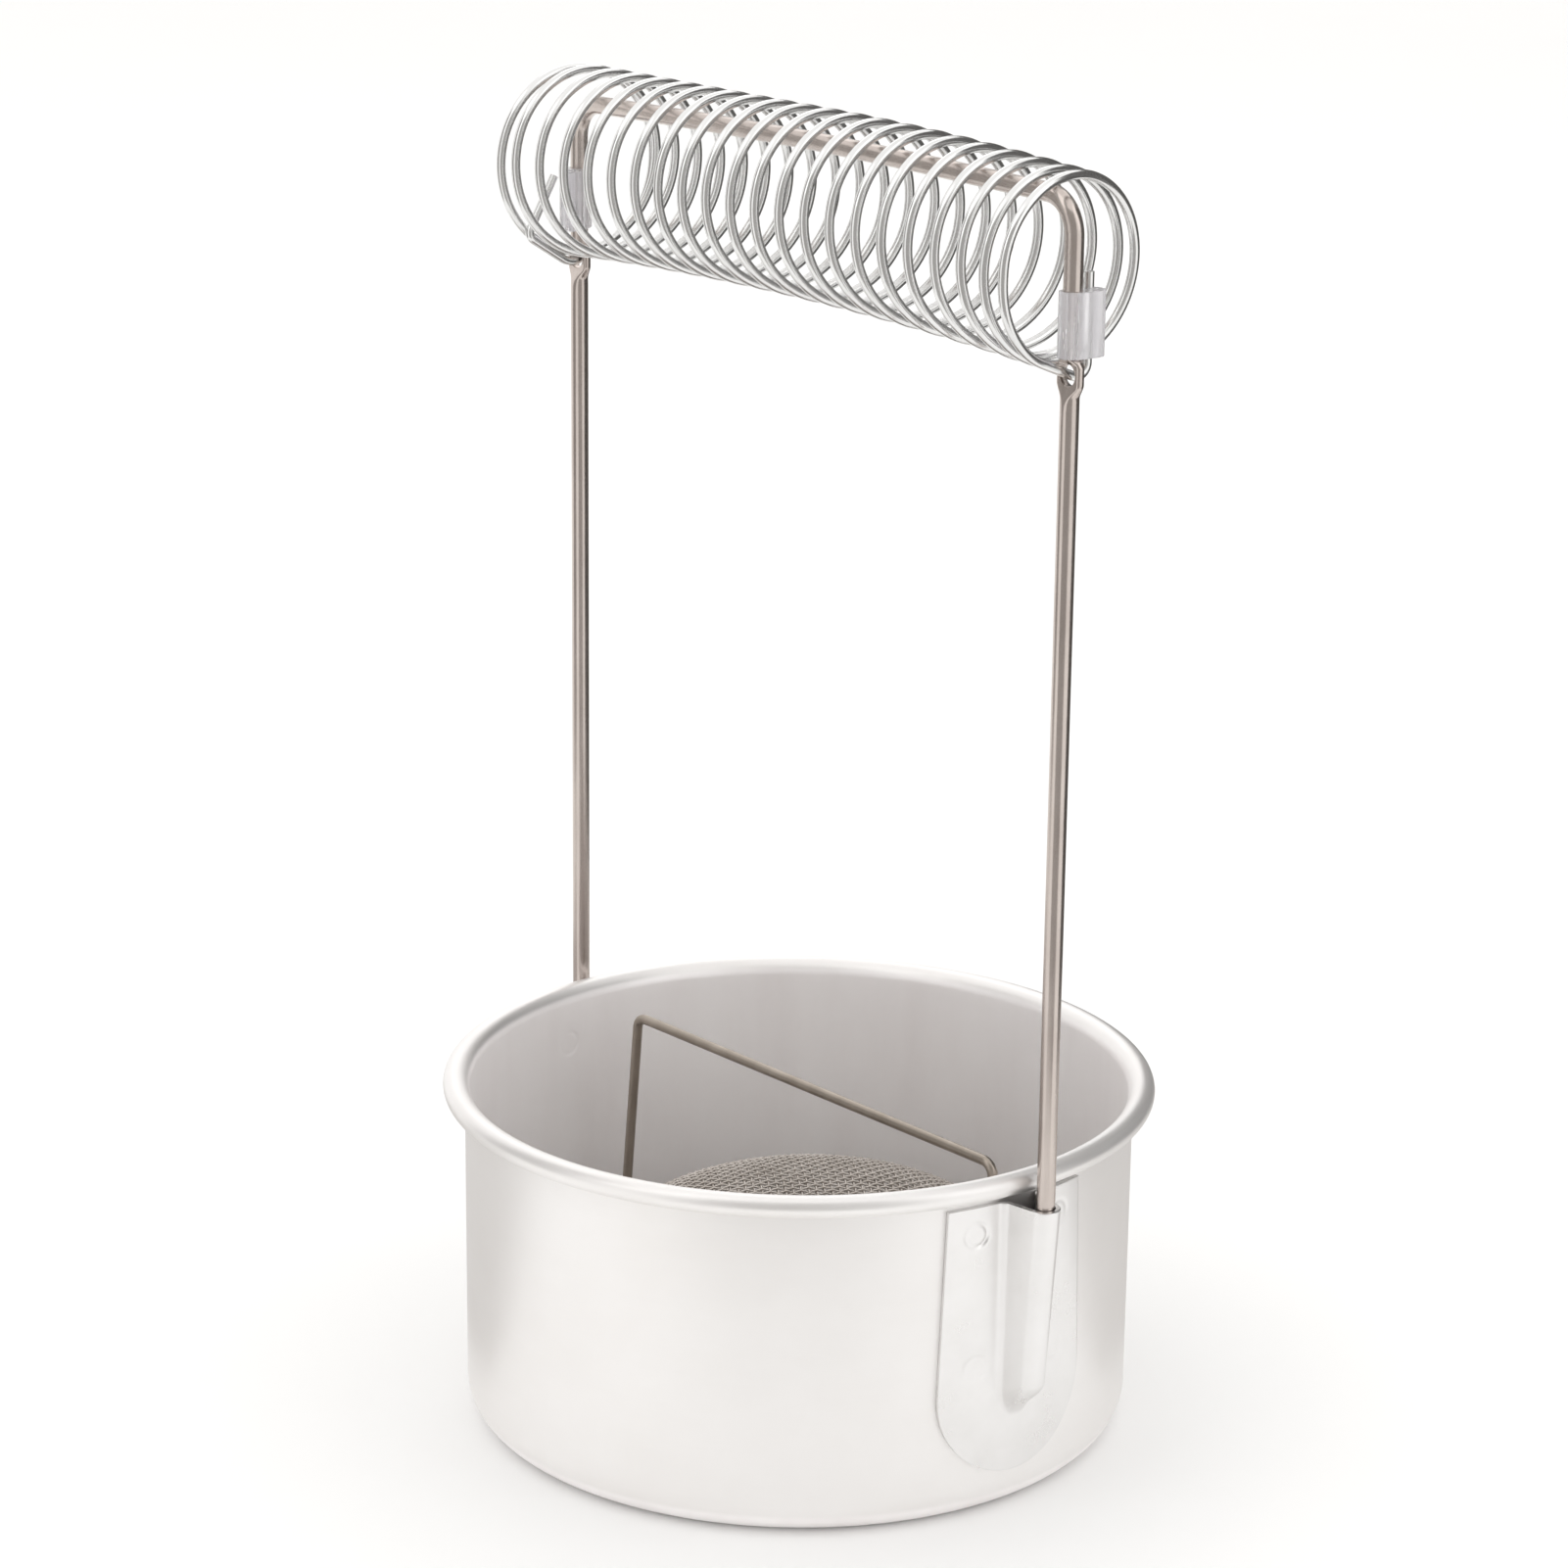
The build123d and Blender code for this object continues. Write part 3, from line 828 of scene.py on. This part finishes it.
def spun_aluminium():
    """Satin aluminium with fine lines from spinning. Inside, its colour is painted paler to stand in for
    light falling into the cup, with faint upright streaks of painted reflection.
    """
    nodes = Nodes("cup_aluminium")
    lines = nodes.noise(60, (1, 1, 45), detail=4)
    smudges = nodes.noise(28, detail=5)
    # upright noise for the painted reflection streaks on the inner wall
    painted_reflection_streaks = nodes.noise(75, (1, 1, 0.22), detail=5)
    grain = nodes.noise(2600, detail=2)
    inside = inside_share(nodes)
    outer_tone = nodes.blend(nodes.spread(smudges, 0, 1), (0.865, 0.845, 0.83), (0.905, 0.89, 0.88))
    # the inner wall's paler colour is painted light, and its upright streaks are painted reflection
    inner_painted_light_tone = nodes.blend(nodes.spread(painted_reflection_streaks, 0, 1), (0.915, 0.885, 0.88), (0.975, 0.955, 0.95))
    tone = nodes.add("ShaderNodeMix", data_type="RGBA")
    nodes.link(inside, tone.inputs[0])
    nodes.link(outer_tone, tone.inputs[6])
    nodes.link(inner_painted_light_tone, tone.inputs[7])
    nodes.link(tone.outputs[2], nodes.shader.inputs["Base Color"])
    nodes.link(nodes.spread(inside, 0.8, 0.4, 0, 1), nodes.shader.inputs["Metallic"])
    nodes.link(nodes.spread(lines, 0.38, 0.46), nodes.shader.inputs["Roughness"])
    nodes.bump([(lines, 0.006 * MM), (grain, 0.004 * MM)])
    return nodes.material


def pressed_aluminium():
    """The brackets' sheet: brighter and a little smoother than the cup, with a fine grain."""
    nodes = Nodes("bracket_aluminium")
    patches = nodes.noise(90, detail=4)
    grain = nodes.noise(1800, detail=3)
    tone = nodes.blend(nodes.spread(patches, 0, 1), (0.82, 0.81, 0.80), (0.88, 0.87, 0.865))
    nodes.link(tone, nodes.shader.inputs["Base Color"])
    nodes.link(nodes.spread(patches, 0.26, 0.34), nodes.shader.inputs["Roughness"])
    nodes.set(Metallic=1.0)
    nodes.bump([(grain, 0.004 * MM), (patches, 0.015 * MM)])
    return nodes.material


def drawn_steel(name, tint, deeper, rough_low, rough_high):
    """Drawn wire: fine scratches along its length over a slightly uneven tone."""
    nodes = Nodes(name)
    scratches = nodes.noise(900, (1, 1, 0.06), detail=4)
    patches = nodes.noise(160, (1, 1, 0.4), detail=4)
    tone = nodes.blend(nodes.spread(patches, 0, 1), deeper, tint)
    nodes.link(tone, nodes.shader.inputs["Base Color"])
    nodes.link(nodes.spread(scratches, rough_low, rough_high), nodes.shader.inputs["Roughness"])
    nodes.set(Metallic=1.0)
    nodes.bump([(scratches, 0.006 * MM)])
    return nodes.material


def spring_wire():
    """Bright plated wire, with slow changes of tone and gloss along it."""
    nodes = Nodes("spring_wire")
    waves = nodes.noise(140, detail=2)
    patches = nodes.noise(60, detail=4)
    tone = nodes.blend(nodes.spread(patches, 0, 1), (0.76, 0.76, 0.755), (0.84, 0.84, 0.835))
    nodes.link(tone, nodes.shader.inputs["Base Color"])
    nodes.link(nodes.spread(waves, 0.14, 0.22), nodes.shader.inputs["Roughness"])
    nodes.set(Metallic=1.0)
    nodes.bump([(waves, 0.006 * MM)])
    return nodes.material


def clear_plastic():
    """Cloudy clear plastic, extruded, with faint lengthwise streaks."""
    nodes = Nodes("clear_plastic")
    streaks = nodes.noise(1400, (1, 1, 0.04), detail=3)
    tone = nodes.blend(nodes.spread(streaks, 0, 1), (0.90, 0.885, 0.91), (0.97, 0.965, 0.98))
    nodes.link(tone, nodes.shader.inputs["Base Color"])
    nodes.link(nodes.spread(streaks, 0.16, 0.30), nodes.shader.inputs["Roughness"])
    nodes.set(IOR=1.45, Transmission_Weight=0.72)
    nodes.bump([(streaks, 0.012 * MM)])
    return nodes.material


# ==== light, floor and camera =====================================================================

# the camera looks at a point on the axis, from this side, height and distance
view_azimuth = math.radians(51.616)
view_elevation = math.radians(16.537)
view_roll = math.radians(0.634)
view_distance = 844.737 * MM
view_height = 130.0 * MM
view_slide = (-3.615 * MM, -1.704 * MM)
view_lens = 100.4
film = 36.0
light_aim = 0.1                   # the lights point at this height on the axis
floor_half = 12.0
world_strength = 1.09


def view_axes():
    """The view's own directions: right, away from the camera on the level, and up."""
    right = np.array([math.cos(view_azimuth), math.sin(view_azimuth), 0])
    away = np.array([-math.sin(view_azimuth), math.cos(view_azimuth), 0])
    return right, away, np.array([0.0, 0.0, 1.0])


def make_camera():
    right, away, up = view_axes()
    forward = away * math.cos(view_elevation) - up * math.sin(view_elevation)
    upward = away * math.sin(view_elevation) + up * math.cos(view_elevation)
    side = math.cos(view_roll) * right + math.sin(view_roll) * upward
    above = -math.sin(view_roll) * right + math.cos(view_roll) * upward
    place = up * view_height - forward * view_distance + side * view_slide[0] + above * view_slide[1]
    data = bpy.data.cameras.new("camera")
    data.lens = view_lens
    data.sensor_width = film
    data.clip_start = 0.01
    data.clip_end = 100
    camera = bpy.data.objects.new("camera", data)
    camera.matrix_world = Matrix(
        (
            (side[0], above[0], -forward[0], place[0]),
            (side[1], above[1], -forward[1], place[1]),
            (side[2], above[2], -forward[2], place[2]),
            (0, 0, 0, 1),
        )
    )
    bpy.context.scene.collection.objects.link(camera)
    bpy.context.scene.camera = camera


def area_light(name, right, away, up, width, height, power):
    """A soft rectangular light at a place given in the view's directions, aimed at the sifter."""
    axes = view_axes()
    place = right * axes[0] + away * axes[1] + up * axes[2]
    data = bpy.data.lights.new(name, "AREA")
    data.shape = "RECTANGLE"
    data.size = width
    data.size_y = height
    data.energy = power
    light = bpy.data.objects.new(name, data)
    back = place - np.array([0, 0, light_aim])
    back = back / np.linalg.norm(back)
    side = np.cross((0, 0, 1), back)
    side = side / np.linalg.norm(side)
    above = np.cross(back, side)
    light.matrix_world = Matrix(
        (
            (side[0], above[0], back[0], place[0]),
            (side[1], above[1], back[1], place[1]),
            (side[2], above[2], back[2], place[2]),
            (0, 0, 0, 1),
        )
    )
    bpy.context.scene.collection.objects.link(light)


def card(name, azimuth, span, radius, low, high, tone, foot_radius=None):
    """A curved card round the sifter, which only reflections show. Azimuth and span are in degrees.

    Azimuth 0 is the camera's side. Low and high are its two edges' heights, and tone its brightness.
    """
    right, away, up = view_axes()
    angles = np.radians(azimuth + np.linspace(-span / 2, span / 2, 9))
    outward = np.sin(angles)[:, None] * right - np.cos(angles)[:, None] * away
    points = np.concatenate([outward * (foot_radius or radius) + up * low, outward * radius + up * high])
    piece = mesh_piece(name, points, grid_quads(2, len(angles)))
    nodes = Nodes(name)
    nodes.set(Emission_Strength=1.0, Roughness=1.0, Specular_IOR_Level=0.0)
    nodes.shader.inputs["Base Color"].default_value = (0, 0, 0, 1)
    nodes.shader.inputs["Emission Color"].default_value = (tone, tone * 0.97, tone * 0.94, 1)
    piece.data.materials.append(nodes.material)
    piece.visible_camera = False
    piece.visible_diffuse = False
    piece.visible_shadow = False
    piece.visible_transmission = False


def make_floor():
    """The plain pale floor."""
    size = floor_half
    corners = np.array([(-size, -size, 0), (size, -size, 0), (size, size, 0), (-size, size, 0)])
    floor = mesh_piece("floor", corners, np.array([[0, 1, 2, 3]]))
    nodes = Nodes("floor")
    tone = nodes.blend(nodes.noise(3.0), (0.90, 0.90, 0.895), (0.92, 0.92, 0.915))
    nodes.link(tone, nodes.shader.inputs["Base Color"])
    nodes.set(Roughness=0.9)
    floor.data.materials.append(nodes.material)


def make_studio():
    """Floor, even pale surroundings, three soft lights, and the cards that the metal reflects."""
    scene = bpy.context.scene
    scene.view_settings.view_transform = "Standard"
    world = bpy.data.worlds.new("studio")
    world.use_nodes = True
    background = world.node_tree.nodes["Background"]
    background.inputs["Color"].default_value = (1.0, 0.99, 0.98, 1)
    background.inputs["Strength"].default_value = world_strength
    scene.world = world
    make_floor()
    area_light("key", -0.9, -0.5, 1.3, 1.2, 1.2, 2.0)
    area_light("fill", 1.1, -0.4, 0.9, 1.0, 1.2, 1.5)
    area_light("back", 0.2, 1.2, 1.2, 1.6, 0.9, 2.0)
    card("card_front", 0, 62, 0.30, 0.0, 0.50, 0.43)
    card("card_left", -86, 40, 0.30, 0.04, 0.50, 0.38)
    card("card_right", 118, 96, 0.30, 0.0, 0.50, 0.12)
    card("card_low_left", -125, 80, 0.22, 0.001, 0.03, 0.62, 0.085)
    card("card_low_right", 125, 80, 0.22, 0.001, 0.03, 0.66, 0.085)


# ==== putting it together =========================================================================

def finish_piece(piece, material, slot, body, *nodes):
    """Give a piece its material, and let it ride on a body and stand for its CAD nodes. The slot argument
    is not used.
    """
    piece.data.materials.clear()
    piece.data.materials.append(material)
    if body:
        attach(piece, body)
    if nodes:
        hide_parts(*nodes)


make_camera()
make_studio()

cup_metal = spun_aluminium()
bracket_metal = pressed_aluminium()
handle_metal = drawn_steel("handle_steel", (0.64, 0.575, 0.535), (0.55, 0.485, 0.45), 0.18, 0.27)
bail_metal = drawn_steel("bail_steel", (0.42, 0.37, 0.32), (0.34, 0.295, 0.25), 0.28, 0.40)
rim_metal = drawn_steel("rim_steel", (0.60, 0.585, 0.565), (0.52, 0.505, 0.485), 0.24, 0.34)
weave_metal = drawn_steel("mesh_steel", (0.62, 0.575, 0.535), (0.50, 0.455, 0.415), 0.25, 0.36)
grip_metal = spring_wire()
plastic = clear_plastic()

finish_piece(make_cup(), cup_metal, "cup_aluminium", "frame", "cup_shell")
finish_piece(
    make_bracket("bracket_plate_right", 1),
    bracket_metal, "bracket_aluminium", "frame", "bracket_right",
)
finish_piece(
    make_bracket("bracket_plate_left", -1),
    bracket_metal, "bracket_aluminium", "frame", "bracket_left",
)
finish_piece(make_handle(), handle_metal, "handle_steel", "frame", "handle_frame")
for half in make_spring():
    finish_piece(half, grip_metal, "spring_wire", None, "grip_spring")
finish_piece(
    make_sleeve("clear_sleeve_right", "sleeve_right", 1, sleeve_right_lobe),
    plastic, "clear_plastic", "frame", "sleeve_right",
)
finish_piece(
    make_sleeve("clear_sleeve_left", "sleeve_left", -1, sleeve_left_lobe),
    plastic, "clear_plastic", "frame", "sleeve_left",
)
for name, direction in (("sieve_warp", 0), ("sieve_weft", 1)):
    finish_piece(make_weave(name, direction), weave_metal, "mesh_steel", "sieve", "sieve_mesh")
finish_piece(make_band(), rim_metal, "rim_steel", "sieve", "sieve_rim_band")
finish_piece(make_bail(), bail_metal, "bail_steel", "sieve", "sieve_bail")
rim_wire = frame["nodes"]["sieve_rim_wire"]
rim_wire.data.materials.clear()
rim_wire.data.materials.append(rim_metal)
